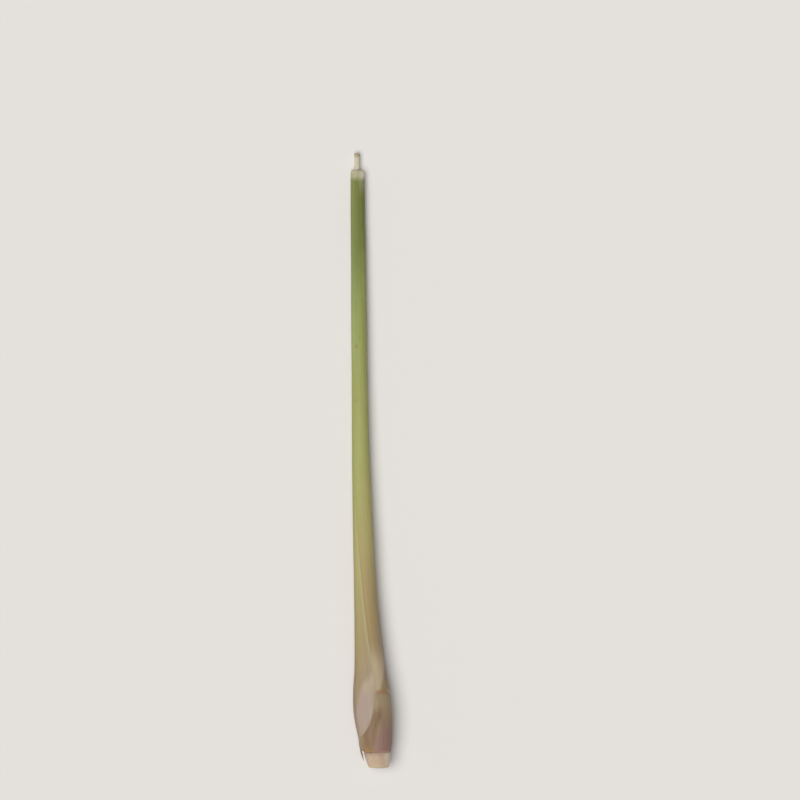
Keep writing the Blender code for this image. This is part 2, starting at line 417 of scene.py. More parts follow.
# Its small brown marks: distance along, angle, radius and strength
MARKS = [(210.8, -22, 1.5, 0.35), (184, -28, 1.1, 0.2), (273.6, -7, 0.9, 0.3), (132, 150, 1.4, 0.4)]

# How far light goes into the plant, and how much of its red, green and blue
GLOW_REACH = 1.2
GLOW_COLOUR = (1.0, 0.7, 0.35)

# Places of a Mix node's sockets for colours
FIRST_COLOUR = 6
SECOND_COLOUR = 7
MIXED_COLOUR = 2


def curve_through(points):
    """A function through (distance, value) points that has no kink and never overshoots them."""
    at, values = np.array(sorted(points), float).T
    spans = np.diff(at)
    slopes = np.diff(values) / spans
    tangents = np.zeros(len(at))
    tangents[0], tangents[-1] = slopes[0], slopes[-1]
    for i in range(1, len(at) - 1):
        before, after = slopes[i - 1], slopes[i]
        if before * after > 0:
            tangents[i] = 2 * before * after / (before + after)

    def value(distance):
        """The curve's value at a distance, and level beyond its ends."""
        distance = np.clip(np.asarray(distance, float), at[0], at[-1])
        i = np.clip(np.searchsorted(at, distance, "right") - 1, 0, len(spans) - 1)
        t = (distance - at[i]) / spans[i]
        start = (1 + 2 * t) * (1 - t) ** 2 * values[i] + t * (1 - t) ** 2 * spans[i] * tangents[i]
        end = t * t * (3 - 2 * t) * values[i + 1] + t * t * (t - 1) * spans[i] * tangents[i + 1]
        return start + end

    return value


middle_x = curve_through(MIDDLE_X)
half_width = curve_through(HALF_WIDTH)
margin_angle = curve_through(MARGIN_ANGLE)
lower_edge = curve_through(LOWER_EDGE)
old_edge = curve_through(OLD_EDGE)
culm_radius = curve_through(CULM_SIDE)
heart_sideways = curve_through(HEART_SIDEWAYS)


def smooth_step(low, high, value):
    """0 below low, 1 above high, and a smooth rise between them."""
    share = np.clip((np.asarray(value, float) - low) / (high - low), 0, 1)
    return share * share * (3 - 2 * share)


def fall(low, high, value):
    """1 below low, 0 above high, and a smooth fall between them."""
    return 1 - smooth_step(low, high, value)


def peak(value, centre, span):
    """1 at centre, and less on both sides of it, down to almost nothing at two spans away."""
    return np.exp(-(((value - centre) / span) ** 2))


def wander(relief, turns, along):
    """Smooth random values from -1 to 1 over the stalk's skin, closed round it."""
    seed, round_cells, long_cells = relief
    turns, along = np.broadcast_arrays(np.asarray(turns, float), np.asarray(along, float))
    cells = np.random.default_rng(seed).uniform(-1, 1, (long_cells + 2, round_cells))
    u = (turns % 1) * round_cells
    v = np.clip(along / STALK_LENGTH, 0, 1) * long_cells
    i, j = u.astype(int) % round_cells, v.astype(int)
    fu, fv = smooth_step(0, 1, u % 1), smooth_step(0, 1, v % 1)
    near = cells[j, i] * (1 - fu) + cells[j, (i + 1) % round_cells] * fu
    far = cells[j + 1, i] * (1 - fu) + cells[j + 1, (i + 1) % round_cells] * fu
    return near * (1 - fv) + far * fv


def swell(angle, along):
    """Slow dents and swellings that every layer shares."""
    return SWELL_HEIGHT * wander(SWELLINGS, angle / 360, along)


def middle_z(along):
    """Height of the stalk's middle, on the straight line that sets both resting spots down flat."""
    low = float(half_width(BULB_REST)) * HEIGHT_SHARE - BULB_FLAT
    high = float(half_width(TOP_REST)) * HEIGHT_SHARE - TOP_FLAT
    return low + (high - low) * (along - BULB_REST) / (TOP_REST - BULB_REST)


def place(along, angle, radius, floor=0.0, sideways=0.0):
    """Points at those distances, angles and radii, in metres and no lower than floor."""
    along, angle, radius = np.broadcast_arrays(
        np.asarray(along, float), np.radians(angle), np.asarray(radius, float)
    )
    x = middle_x(along) + sideways + radius * np.sin(angle)
    z = middle_z(along) + radius * HEIGHT_SHARE * np.cos(angle)
    return np.stack([x, along - MIDDLE_Y, np.maximum(z, floor)], axis=-1) * MM


def grid_faces(rows, columns, closed, looped=False, start=0):
    """The quads of points stored row by row; closed joins the grid's sides, and looped its ends."""
    row, column = np.mgrid[0 : rows if looped else rows - 1, 0 : columns if closed else columns - 1]
    after = (column + 1) % columns
    above = (row + 1) % rows
    corners = [
        row * columns + column,
        row * columns + after,
        above * columns + after,
        above * columns + column,
    ]
    return np.stack([c.ravel() for c in corners], axis=-1) + start


def closed_shell(outside, inside):
    """The points and faces of a sheet with two sides, closed along its whole border."""
    shape = outside.shape[:2]
    count = shape[0] * shape[1]
    index = np.arange(count).reshape(shape)
    border = np.concatenate([index[0], index[1:, -1], index[-1, -2::-1], index[-2:0:-1, 0]])
    after = np.roll(border, -1)
    faces = [
        grid_faces(*shape, closed=False),
        grid_faces(*shape, closed=False, start=count),
        np.stack([border, after, after + count, border + count], axis=-1),
    ]
    return np.concatenate([outside.reshape(-1, 3), inside.reshape(-1, 3)]), np.concatenate(faces)


def add_object(name, data):
    """A new object in the scene."""
    made = bpy.data.objects.new(name, data)
    bpy.context.scene.collection.objects.link(made)
    return made


def add_piece(name, points, faces, fields, material, replaces=()):
    """Makes a piece of the object that rides on the stalk's body and stands for some nodes."""
    mesh = bpy.data.meshes.new(name)
    mesh.from_pydata(points.reshape(-1, 3).tolist(), [], [list(map(int, face)) for face in faces])
    for field, values in fields.items():
        kind = "FLOAT_VECTOR" if field == "vein" else "FLOAT"
        attribute = mesh.attributes.new(field, kind, "POINT")
        part = "vector" if field == "vein" else "value"
        attribute.data.foreach_set(part, np.ascontiguousarray(values, np.float32).ravel())
    bm = bmesh.new()
    bm.from_mesh(mesh)
    bmesh.ops.recalc_face_normals(bm, faces=bm.faces)
    bm.to_mesh(mesh)
    bm.free()
    mesh.shade_smooth()
    mesh.materials.append(material)
    piece = add_object(name, mesh)
    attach(piece, "root")
    if replaces:
        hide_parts(*replaces)


def vein_field(turn, along):
    """Where a point is round and along a leaf, without a seam: veins are noise drawn out on it."""
    turn, along = np.broadcast_arrays(np.radians(turn), np.asarray(along, float))
    return np.stack([np.cos(turn), np.sin(turn), along], axis=-1)


def linear(name):
    """A named colour in the renderer's own linear values."""
    shares = [value / 255 for value in COLOURS[name]]
    values = [s / 12.92 if s <= 0.04045 else ((s + 0.055) / 1.055) ** 2.4 for s in shares]
    return (*values, 1.0)


class Paint:
    """A material under construction, with short names for the nodes that it is made of."""

    def __init__(self, name):
        self.material = bpy.data.materials.new(name)
        self.material.use_nodes = True
        self.tree = self.material.node_tree

    def fill(self, node, inputs):
        """Joins a node's inputs to outputs, or sets them to numbers or named colours."""
        for name, value in inputs.items():
            if isinstance(value, bpy.types.NodeSocket):
                self.tree.links.new(value, node.inputs[name])
            else:
                node.inputs[name].default_value = linear(value) if isinstance(value, str) else value

    def make(self, kind, inputs, **settings):
        """The outputs of a new node, whose inputs are given by their names or places."""
        node = self.tree.nodes.new("ShaderNode" + kind)
        for name, value in settings.items():
            setattr(node, name, value)
        self.fill(node, inputs)
        return node.outputs

    def field(self, name):
        """A value that the mesh keeps at its points."""
        return self.make("Attribute", {}, attribute_name=name)["Vector" if name == "vein" else "Fac"]

    def here(self):
        """The place of a point on the object."""
        return self.make("TexCoord", {})["Object"]

    def calculate(self, operation, first, second):
        """What a maths node gives for two numbers."""
        return self.make("Math", {0: first, 1: second}, operation=operation)["Value"]

    def times(self, first, second):
        """Two numbers multiplied."""
        return self.calculate("MULTIPLY", first, second)

    def plus(self, first, second):
        """Two numbers added."""
        return self.calculate("ADD", first, second)

    def minus(self, first, second):
        """The second number taken from the first."""
        return self.calculate("SUBTRACT", first, second)

    def stretch(self, vector, scale):
        """A place multiplied by a scale for each axis."""
        return self.make("VectorMath", {0: vector, 1: scale}, operation="MULTIPLY")["Vector"]

    def away(self, vector, point):
        """Distance from a point that doesn't move."""
        return self.make("VectorMath", {0: vector, 1: point}, operation="DISTANCE")["Value"]

    def scaled(self, colour, factor):
        """A colour made darker or lighter by a factor."""
        return self.make("VectorMath", {0: colour, "Scale": factor}, operation="SCALE")["Vector"]

    def noise(self, vector, scale=1.0, detail=3.0, roughness=0.5):
        """Soft random values round 0.5."""
        inputs = {"Vector": vector, "Scale": scale, "Detail": detail, "Roughness": roughness}
        return self.make("TexNoise", inputs)["Fac"]

    def cells(self, vector, scale):
        """Distance to the nearest of many scattered points."""
        return self.make("TexVoronoi", {"Vector": vector, "Scale": scale})["Distance"]

    def rise(self, value, low, high, top=1.0):
        """0 where value is at low, top where it is at high, smooth between; low may be above high."""
        if low < high:
            inputs = {"From Min": low, "From Max": high, "To Min": 0.0, "To Max": top}
        else:
            inputs = {"From Min": high, "From Max": low, "To Min": top, "To Max": 0.0}
        inputs["Value"] = value
        return self.make("MapRange", inputs, interpolation_type="SMOOTHSTEP")["Result"]

    def mix(self, factor, first, second):
        """The first colour where factor is 0, the second where it is 1."""
        inputs = {"Factor": factor, FIRST_COLOUR: first, SECOND_COLOUR: second}
        return self.make("Mix", inputs, data_type="RGBA")[MIXED_COLOUR]

    def ramp(self, value, stops, longest):
        """Colours by distance: stops are (distance, colour name)."""
        node = self.tree.nodes.new("ShaderNodeValToRGB")
        node.color_ramp.interpolation = "LINEAR"
        elements = node.color_ramp.elements
        while len(elements) < len(stops):
            elements.new(1.0)
        for element, (distance, name) in zip(elements, stops):
            element.position = distance / longest
            element.color = linear(name)
        self.fill(node, {"Fac": self.calculate("DIVIDE", value, longest)})
        return node.outputs["Color"]

    def bump(self, height, distance, strength, normal=None):
        """Relief of a height in millimetres, on top of other relief if normal is given."""
        inputs = {"Height": height, "Distance": distance * MM, "Strength": strength}
        if normal is not None:
            inputs["Normal"] = normal
        return self.make("Bump", inputs)["Normal"]

    def surface(self, looks):
        """The finished material, whose surface has those looks."""
        self.fill(self.tree.nodes["Principled BSDF"], looks)
        return self.material

    def moist(self, colour, roughness, normal, glow, gloss):
        """The finished material of a plant, which lets a little light in."""
        looks = {
            "Base Color": colour,
            "Roughness": roughness,
            "Normal": normal,
            "Subsurface Weight": glow,
            "Subsurface Radius": GLOW_COLOUR,
            "Subsurface Scale": GLOW_REACH * MM,
            "Specular IOR Level": gloss,
        }
        return self.surface(looks)


def fibre_look(paint, colour, strength):
    """Veins that run along a leaf, broad, fine and as thin as hair, and a faint mottle."""
    vein = paint.field("vein")
    broad = paint.noise(paint.stretch(vein, (5.0, 5.0, 0.012)), detail=2.0)
    fine = paint.noise(paint.stretch(vein, (15.0, 15.0, 0.02)), detail=3.0, roughness=0.6)
    mottle = paint.noise(paint.stretch(vein, (2.0, 2.0, 0.07)), detail=4.0, roughness=0.6)
    hair = paint.noise(paint.stretch(vein, (42.0, 42.0, 0.03)), detail=1.0)
    dark = paint.scaled(colour, 0.7)
    light = paint.scaled(colour, 1.3)
    tones = [
        (broad, 0.46, 0.3, 0.5, dark), (broad, 0.54, 0.7, 0.4, light),
        (fine, 0.47, 0.34, 0.5, dark), (fine, 0.54, 0.7, 0.4, light),
        (mottle, 0.5, 0.28, 0.3, dark), (mottle, 0.55, 0.75, 0.25, light),
        (hair, 0.5, 0.3, 0.5, dark),
    ]  # fmt: skip
    for pattern, start, full, share, tone in tones:
        colour = paint.mix(paint.rise(pattern, start, full, share * strength), colour, tone)
    normal = paint.bump(broad, 0.14, 0.5)
    normal = paint.bump(fine, 0.07, 0.6, normal)
    normal = paint.bump(hair, 0.04, 0.6, normal)
    return colour, normal


def leaf_ground(paint, along, drift):
    """The leaf's colour by distance along, riper on its right, with a browner strip there."""
    older = paint.times(paint.field("side"), OLDER_SIDE)
    colour = paint.ramp(paint.minus(paint.plus(along, drift), older), LEAF_COLOURS, OUTER_TOP)
    return paint.mix(paint.times(paint.field("strip"), 0.6), colour, "strip brown")


def bulb_tones(paint, colour, along, drift):
    """The pink lobe, painted shade down the left side, and the pale wedge and painted highlight
    beside the margin.
    """
    lobe = paint.plus(paint.field("lobe"), paint.times(drift, 0.6))
    petal = paint.mix(paint.rise(along, *PETAL_TONE), "lobe pink", "lobe cream")
    colour = paint.mix(paint.rise(lobe, *LOBE_SOFTNESS, 0.95), colour, petal)
    reach = paint.plus(paint.rise(along, *LOW_LEFT_SHADE, 0.3), paint.rise(along, *HIGH_LEFT_SHADE, 0.7))
    # Painted shade: darker brown towards the left edge
    left_edge_shade = paint.times(paint.rise(paint.field("side"), -0.72, -1.0, 0.5), reach)
    colour = paint.mix(left_edge_shade, colour, "old edge and shade brown")
    # Painted highlight, together with the wedge's own pale tone, beside the margin
    return paint.mix(paint.times(paint.field("wedge"), 0.75), colour, "wedge cream")


def whole_edge_tones(paint, colour, along, edge, torn):
    """A tan border along the whole part of the lower edge, and low down beside the margin."""
    whole = paint.minus(1.0, torn)
    border = paint.times(paint.rise(edge, *WHOLE_BORDER, 0.5), whole)
    colour = paint.mix(border, colour, "bare tan")
    beside = paint.times(paint.rise(paint.field("margin"), *MARGIN_BORDER, 0.6), whole)
    beside = paint.times(beside, paint.rise(along, *BESIDE_MARGIN))
    return paint.mix(beside, colour, "bare tan")


def leaf_marks(paint, colour, blotch):
    """Fine brown specks in patches, and the few larger brown marks."""
    specks = paint.rise(paint.cells(paint.here(), 130.0), 0.07, 0.03, 0.4)
    colour = paint.mix(paint.times(specks, paint.rise(blotch, 0.5, 0.6)), colour, "mark brown")
    for along, angle, size, strength in MARKS:
        point = place(along, angle, half_width(along))
        near = paint.rise(paint.away(paint.here(), point), size * MM, 0.2 * size * MM, strength)
        colour = paint.mix(near, colour, "mark brown")
    return colour


def rim_tones(paint, colour, along, drift):
    """The bleached band below the cut rim, paler on its right as a painted highlight, and the cut
    itself.
    """
    side = paint.field("side")
    # The green fades towards the rim on the right side only, partly as painted highlight
    fade_and_highlight = paint.times(paint.rise(side, -0.2, 0.6, 0.45), paint.rise(along, *RIGHT_FADE_AND_HIGHLIGHT))
    colour = paint.mix(fade_and_highlight, colour, "bleached")
    rim = paint.plus(along, paint.times(drift, 0.3))
    # Painted highlight: the bleached band lighter towards its right
    bleached = paint.mix(paint.rise(side, 0.1, 0.9, 0.8), "bleached", "painted highlight cream")
    colour = paint.mix(paint.rise(rim, *BLEACHED_RIM, 0.95), colour, bleached)
    return paint.mix(paint.rise(rim, *CUT_RIM, 0.8), colour, "cut cream")


def torn_edge_tones(paint, colour, edge, torn, drift):
    """The brown border of the torn edge, and its pale lip."""
    ragged = paint.plus(edge, paint.times(drift, 0.14))
    brown = paint.times(paint.rise(ragged, *TORN_BORDER, 0.7), torn)
    colour = paint.mix(brown, colour, "torn brown")
    lip = paint.times(paint.rise(edge, *LIP_BORDER, 0.8), paint.field("lip"))
    return paint.mix(lip, colour, "pale line")


def leaf_material():
    """The outer sheath: green at the top, straw in the middle, tan and pink on the bulb."""
    paint = Paint("waxy_leaf_base")
    along = paint.field("along")
    torn = paint.field("torn")
    edge = paint.field("edge")
    blotch = paint.noise(paint.stretch(paint.here(), (300.0, 120.0, 300.0)), detail=4.0)
    drift = paint.times(paint.minus(blotch, 0.5), DRIFT)
    colour = leaf_ground(paint, along, drift)
    colour = bulb_tones(paint, colour, along, drift)
    colour = whole_edge_tones(paint, colour, along, edge, torn)
    # Painted shade: a darker olive band down the middle of the green top
    colour = paint.mix(paint.times(paint.field("shade_band"), 0.6), colour, "shade_band olive")
    # Painted highlight on the left side of the upper stalk
    colour = paint.mix(paint.times(paint.field("left_highlight"), 0.3), colour, "left_highlight green")
    colour, normal = fibre_look(paint, colour, 0.4)
    colour = leaf_marks(paint, colour, blotch)
    line = paint.rise(paint.field("margin"), *MARGIN_LINE, 0.4)
    colour = paint.mix(line, colour, "pale line")
    colour = rim_tones(paint, colour, along, drift)
    colour = torn_edge_tones(paint, colour, edge, torn, drift)
    roughness = paint.plus(paint.rise(blotch, 0.3, 0.7, 0.12), 0.46)
    return paint.moist(colour, roughness, normal, glow=0.15, gloss=0.18)


def bare_material():
    """The inner sheaths where they are bare: brown, mauve towards the root end, pale cut ends."""
    paint = Paint("bare_inner_leaf")
    along = paint.field("along")
    blotch = paint.noise(paint.stretch(paint.here(), (260.0, 130.0, 260.0)), detail=4.0)
    shift = paint.times(paint.minus(blotch, 0.5), 0.9)
    colour = paint.mix(paint.rise(along, *BARE_TONE, 0.6), "bare tan", "bare brown")
    mauve = paint.plus(paint.field("mauve"), shift)
    colour = paint.mix(paint.rise(mauve, 0.1, 0.95, 0.9), colour, "mauve")
    old = paint.plus(paint.field("old"), shift)
    colour = paint.mix(paint.rise(old, 0.1, 1.0, 0.7), colour, "old edge and shade brown")
    rim = paint.plus(along, paint.times(shift, 2.0))
    colour = paint.mix(paint.rise(rim, *BARE_RIM, 0.8), colour, "root pink")
    dry = paint.plus(paint.field("dry"), shift)
    colour = paint.mix(paint.rise(dry, 0.1, 1.0, 0.7), colour, "dry orange")
    colour, normal = fibre_look(paint, colour, 0.42)
    colour = paint.mix(paint.rise(along, *UNDER_TOP), colour, "leaf green")
    colour = paint.mix(paint.rise(paint.field("cut"), 0.4, 0.95), colour, "cut cream")
    return paint.moist(colour, 0.5, normal, glow=0.14, gloss=0.2)


def root_material():
    """The pale culm with its fibres, yellower at the cut, rings on the cut face, and a painted
    highlight on its right side.
    """
    paint = Paint("pale_culm")
    along = paint.field("along")
    on_side = paint.rise(along, *CULM_SKIN)
    colour = paint.mix(paint.rise(along, *CULM_YELLOW, 0.8), "root cream", "root yellow")
    stripe = paint.noise(paint.stretch(paint.field("vein"), (9.0, 9.0, 0.12)), detail=3.0)
    dark = paint.times(paint.rise(stripe, 0.47, 0.3, 0.35), on_side)
    colour = paint.mix(dark, colour, "root ring")
    pale = paint.times(paint.rise(stripe, 0.53, 0.7, 0.3), on_side)
    colour = paint.mix(pale, colour, "heart cream")
    bundles = paint.rise(paint.cells(paint.here(), 2400.0), 0.3, 0.12, 0.45)
    bundles = paint.times(bundles, paint.rise(along, *CULM_DOTS))
    colour = paint.mix(bundles, colour, "root ring")
    colour = paint.mix(paint.rise(paint.field("rings"), 0.2, 1.0, 0.45), colour, "root ring")
    colour = paint.mix(paint.rise(along, *CULM_BLUSH, 0.7), colour, "root blush")
    # Painted highlight: the culm's side lighter towards the right
    right = paint.times(paint.rise(paint.field("side"), 0.3, 1.0, 0.8), on_side)
    colour = paint.mix(right, colour, "painted highlight root")
    pores = paint.noise(paint.here(), scale=2600.0, detail=2.0)
    normal = paint.bump(stripe, 0.12, 0.5)
    normal = paint.bump(pores, 0.06, 0.35, normal)
    return paint.moist(colour, 0.6, normal, glow=0.6, gloss=0.15)


def heart_material():
    """The heart's stub: cream with a painted highlight on its right, and a brown and olive cut end.
    """
    paint = Paint("heart_roll")
    side = paint.field("side")
    tip = paint.mix(paint.rise(side, -0.6, 0.3), "heart olive", "heart pink")
    # Painted highlight: the cream lighter towards the right side
    cream = paint.mix(paint.rise(side, -0.2, 0.7, 0.7), "heart cream", "painted highlight cream")
    near_tip = paint.rise(paint.field("along"), *HEART_END, 0.9)
    colour = paint.mix(near_tip, cream, tip)
    stripe = paint.noise(paint.stretch(paint.field("vein"), (6.0, 6.0, 0.05)), detail=3.0)
    colour = paint.mix(paint.rise(stripe, 0.48, 0.3, 0.25), colour, "heart pink")
    colour = paint.mix(paint.rise(paint.field("scroll"), 0.45, 0.1, 0.3), colour, "heart olive")
    normal = paint.bump(stripe, 0.06, 0.5)
    return paint.moist(colour, 0.5, normal, glow=0.6, gloss=0.2)


def dry_material():
    """Dried shreds and fibres, dark at the tip."""
    paint = Paint("dried_shred")
    grain = paint.noise(paint.stretch(paint.here(), (1500.0, 300.0, 1500.0)), detail=3.0)
    colour = paint.mix(paint.rise(paint.field("reach"), 0.1, 0.75), "dry tan", "dark sliver")
    colour = paint.mix(paint.rise(grain, 0.45, 0.62, 0.7), colour, "bare brown")
    colour = paint.mix(paint.rise(grain, 0.47, 0.36, 0.4), colour, "wedge cream")
    normal = paint.bump(grain, 0.05, 0.6)
    return paint.moist(colour, 0.7, normal, glow=0.05, gloss=0.25)


def torn_edge(turned):
    """The leaf's lower edge by turn, how near its lip it is there, and how torn it is."""
    draw = np.random.default_rng(TEAR_SEED)
    ends = np.linspace(0, WRAP_TURN, TEAR_POINTS)
    jag = TEAR_JAG * np.interp(turned, ends, draw.uniform(-1, 1, TEAR_POINTS))
    near_lip = peak(turned, LIP_TURN, LIP_SPAN)
    is_torn = smooth_step(*TORN_TURNS, turned) * (1 - LIP_SMOOTHNESS * near_lip)
    jag = jag * (WHOLE_JAG_SHARE + (1 - WHOLE_JAG_SHARE) * is_torn)
    return lower_edge(MARGIN_ANGLE[0][1] - turned) + jag, near_lip, is_torn


def leaf_rows(turned, edges):
    """Distances along the leaf, row by row from torn edge to cut rim, and how rounded each is."""
    share = ((np.arange(LEAF_ROWS) / (LEAF_ROWS - 1)) ** ROWS_CROWDED)[:, None]
    rim_start = OUTER_TOP - RIM_LENGTH
    slant = RIM_SLANT * np.maximum(0, np.sin(np.radians(margin_angle(OUTER_TOP) - turned))) ** 2
    along = edges + (rim_start - edges) * share - slant * smooth_step(*SLANT_SHARES, share)
    rim_share = np.sin(np.radians(RIM_CURVE))[:, None] + np.zeros(len(turned))
    chipped = RIM_LENGTH + CHIP_DEPTH * wander(RIM_CHIPS, turned / 360, 0)
    rounding = np.vstack([np.zeros(along.shape), 1 - np.sqrt(1 - rim_share**2)])
    return np.vstack([along, rim_start - slant + chipped * rim_share]), rounding


def leaf_skin(turned, along, angle, edge, near_lip):
    """The leaf's outer radius, before its rim is rounded, and its wall there."""
    turns = turned / 360
    near_margin = fall(0, FREE_SPAN, turned)
    tucked = smooth_step(*TUCK_TURNS, turned)
    lift = FREE_LIFT * (1 - LIFT_LOST * smooth_step(*LIFT_FADE, along)) * near_margin
    ribs = wander(RIBS, turns, along) + FINE_RIB_SHARE * wander(FINE_RIBS, turns, along)
    grown = BULB_RIB_SHARE + (1 - BULB_RIB_SHARE) * smooth_step(*RIB_GROWTH, along)
    lip = LIP_LIFT * near_lip * fall(0, LIP_LENGTH, edge)
    curl = CURL_HEIGHT * fall(0, CURL_LENGTH, edge) * wander(EDGE_CURLS, turns, 0)
    radius = half_width(along) + swell(angle, along) + RIB_HEIGHT * ribs * grown
    radius = radius + lift + lip + curl - TUCK_DEPTH * tucked
    wall = LEAF_WALL - (LEAF_WALL - MARGIN_WALL) * near_margin - (LEAF_WALL - TUCK_WALL) * tucked
    wall = wall * (EDGE_WALL_SHARE + (1 - EDGE_WALL_SHARE) * smooth_step(0, EDGE_THINNING, edge))
    return radius, wall + lip


def wedge_share(turned, angle, along):
    """The pale wedge and painted highlight between the free margin and the torn edge, wider away from
    the tear.
    """
    start, level, slope = WEDGE_BORDER
    inside = start + slope * (along - level) - (angle + 360)
    share = smooth_step(-WEDGE_SOFTNESS, WEDGE_SOFTNESS, inside)
    return share * smooth_step(*WEDGE_TURNS, turned) * fall(*WEDGE_FADE, along)


def leaf_fields(turned, along, angle, radius):
    """What the leaf's mesh keeps at its points for the tones that have a place on it."""
    side = np.sin(np.radians(angle))
    level, slope, bend = LOBE_BORDER
    bent = np.maximum(angle, LOBE_BACK)
    blur = MARGIN_BLUR * np.maximum(along - MARGIN_BLUR_START, 0)
    left_highlight = fall(*LEFT_HIGHLIGHT_SIDES, side) * smooth_step(*LEFT_HIGHLIGHT_START, along)
    return {
        "along": along,
        "side": side,
        "margin": np.radians(turned) * radius + blur,
        "strip": smooth_step(*STRIP_TURNS, turned) * fall(*STRIP_FADE, along),
        "wedge": wedge_share(turned, angle, along),
        "shade_band": peak(angle, SHADE_BAND_ANGLE, SHADE_BAND_SPAN) * smooth_step(*SHADE_BAND_START, along),
        "left_highlight": left_highlight * (1 - LEFT_HIGHLIGHT_LOST * smooth_step(*LEFT_HIGHLIGHT_FADE, along)),
        "lobe": along - (level + slope * bent + bend * bent**2),
        "vein": vein_field(turned, along),
    }


def outer_leaf():
    """The outer sheath, one thin leaf rolled past its own margin, from torn edge to cut rim."""
    turned = np.concatenate([np.arange(*stretch) for stretch in LEAF_COLUMNS])
    edges, near_lip, is_torn = torn_edge(turned)
    along, rounding = leaf_rows(turned, edges)
    turned, near_lip, is_torn = (
        np.broadcast_to(values, along.shape) for values in (turned, near_lip, is_torn)
    )
    edge = along - edges
    angle = margin_angle(along) - turned
    radius, wall = leaf_skin(turned, along, angle, edge, near_lip)
    radius = radius - RIM_DROP * rounding
    outside = place(along, angle, radius)
    inside = place(along, angle, radius - wall, floor=wall)
    points, faces = closed_shell(outside, inside)
    fields = leaf_fields(turned, along, angle, radius)
    fields.update({"edge": edge, "torn": is_torn, "lip": near_lip})
    doubled = {
        name: np.concatenate([values.reshape(along.size, -1)] * 2)
        for name, values in fields.items()
    }
    add_piece(
        "outer_sheath_leaf", points, faces, doubled, leaf_material(), ["outer_sheath"]
    )


def covered_depth(along, angle):
    """How deep the inner sheaths lie below the outline: nothing where they are bare."""
    unrolled = np.where(angle <= LOWER_EDGE[0][0], angle, angle - 360)
    above_edge = along - lower_edge(unrolled)
    return sum(depth * smooth_step(low, high, above_edge) for depth, low, high in DEPTH_STEPS)


def bare_skin(angle):
    """The inner roll's skin, from its closed rim on the culm to just below the cut top."""
    low_rows = np.arange(INNER_RIM, BARE_LIMIT, BARE_ROW_STEP)
    high_rows = np.arange(BARE_LIMIT, COVERED_END, COVERED_ROW_STEP)
    rows = np.concatenate([low_rows, high_rows, OUTER_TOP - np.array(ROWS_BELOW_CUT)])
    along = rows[:, None] + np.zeros(len(angle))
    teeth = TEETH_HEIGHT * wander(ROOT_RIM_TEETH, angle / 360, 0)
    along = along + teeth * fall(0, TEETH_REACH, along - INNER_RIM)
    depth = covered_depth(along, angle)
    step = smooth_step(*OLD_EDGE_BACK, angle) * fall(*OLD_EDGE_FADE, along)
    step = step * fall(-OLD_EDGE_SOFTNESS, OLD_EDGE_SOFTNESS, angle - old_edge(along))
    ribs = RIB_HEIGHT * wander(INNER_RIBS, angle / 360, along)
    radius = half_width(along) + swell(angle, along) - depth
    radius = radius + (ribs + OLD_EDGE_STEP * step) * fall(0, BARE_DEPTH, depth)
    snug = place(along, angle, culm_radius(INNER_RIM) - RIM_GRIP, sideways=CULM_SIDEWAYS)
    closing = fall(0, RIM_CLOSE, along - INNER_RIM)[..., None]
    return along, place(along, angle, radius, floor=depth) * (1 - closing) + snug * closing


def cut_rings(angle):
    """The cut ends of the inner leaf bases: distances along, points, and how high each stands."""
    widest = half_width(OUTER_TOP) - RIM_DROP - CUT_CLEARANCE
    share = np.linspace(0, 1, CUT_ROWS)[:, None]
    radius = widest + (BORE_RADIUS - widest) * share
    height = np.abs(np.sin(math.pi * (CUT_RINGS * share + angle / 360)))
    waves = CUT_WAVE_HEIGHT * wander(CUT_WAVES, angle / 360, 0)
    along = OUTER_TOP - CUT_DEPTH + CUT_RING_HEIGHT * height**CUT_RING_POWER + waves
    return along, place(along, angle, radius, sideways=heart_sideways(OUTER_TOP) * share), height


def round_row(at, angle, radius, sideways):
    """One row of points round the stalk: distances along, and points."""
    along = np.full((1, len(angle)), float(at))
    return along, place(along, angle, radius, sideways=sideways)


def inner_roll():
    """The inner sheaths: their bare side, their cut rings at the top and their rim at the root."""
    angle = np.arange(-180, 180, ROLL_STEP)
    skin = bare_skin(angle)
    *cut, ring_height = cut_rings(angle)
    bore = [round_row(at, angle, BORE_RADIUS, heart_sideways(at)) for at in BORE_ROWS]
    socket = [round_row(at, angle, culm_radius(at), CULM_SIDEWAYS) for at in SOCKET_ROWS]
    along, points = (np.concatenate(rows) for rows in zip(skin, cut, *bore, *socket))
    rings = np.zeros(along.shape)
    rings[len(skin[0]) : len(skin[0]) + len(ring_height)] = ring_height
    angles = np.broadcast_to(angle, along.shape)
    away = angles - old_edge(along)
    fields = {
        "along": along,
        "mauve": smooth_step(*MAUVE_ANGLES, away) * fall(*MAUVE_FADE, along),
        "old": smooth_step(*OLD_START, away) * fall(*OLD_END, away) * fall(*OLD_FADE, along),
        "dry": peak(angles, DRY_ANGLE, DRY_SPAN) * fall(*DRY_FADE, along),
        "cut": rings,
        "vein": vein_field(angles, along),
    }
    faces = grid_faces(*along.shape, closed=True, looped=True)
    add_piece(
        "inner_sheath_roll", points, faces, fields, bare_material(), ["inner_sheath"]
    )


